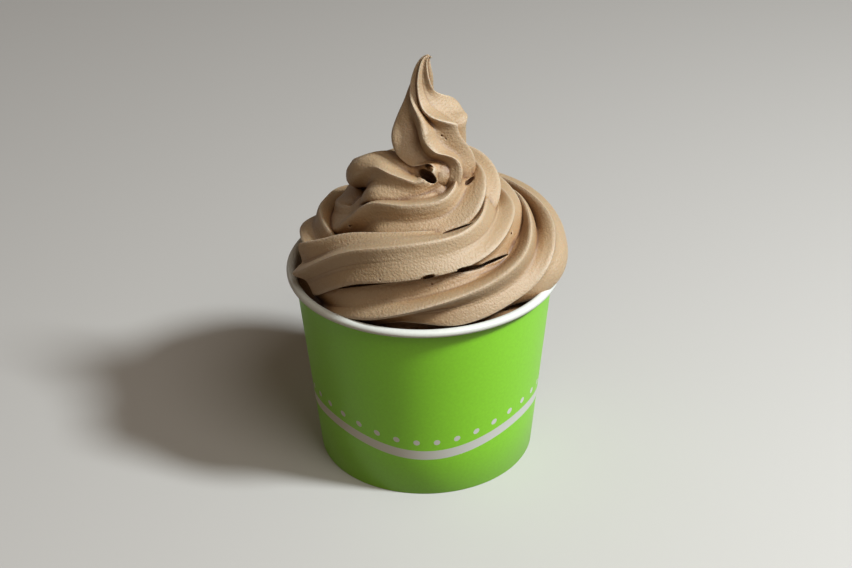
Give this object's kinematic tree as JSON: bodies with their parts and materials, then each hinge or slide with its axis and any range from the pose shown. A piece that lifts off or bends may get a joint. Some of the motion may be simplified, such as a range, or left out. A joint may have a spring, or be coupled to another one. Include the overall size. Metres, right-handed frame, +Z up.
{
  "type": "cup of chocolate custard",
  "caption": "Green paper dessert cup with a white rolled rim, filled with chocolate custard piped as a tall ridged swirl that ends in a curled tip.",
  "frame": {"origin": "centre of the cup's foot, on the surface it stands on", "axes": "+Z up through the swirl's tip, -Y towards the viewer of the picture, +X to the viewer's right"},
  "size_m": [0.1135, 0.112, 0.175],
  "materials": {
    "green_paper": "satin coated paper",
    "white_paper": "matt paper",
    "custard_surface": "soft matt custard with fine drag lines"
  },
  "bodies": {
    "root": {"cup_wall": "green_paper", "cup_base": "white_paper", "custard": "custard_surface"}
  },
  "joints": []
}
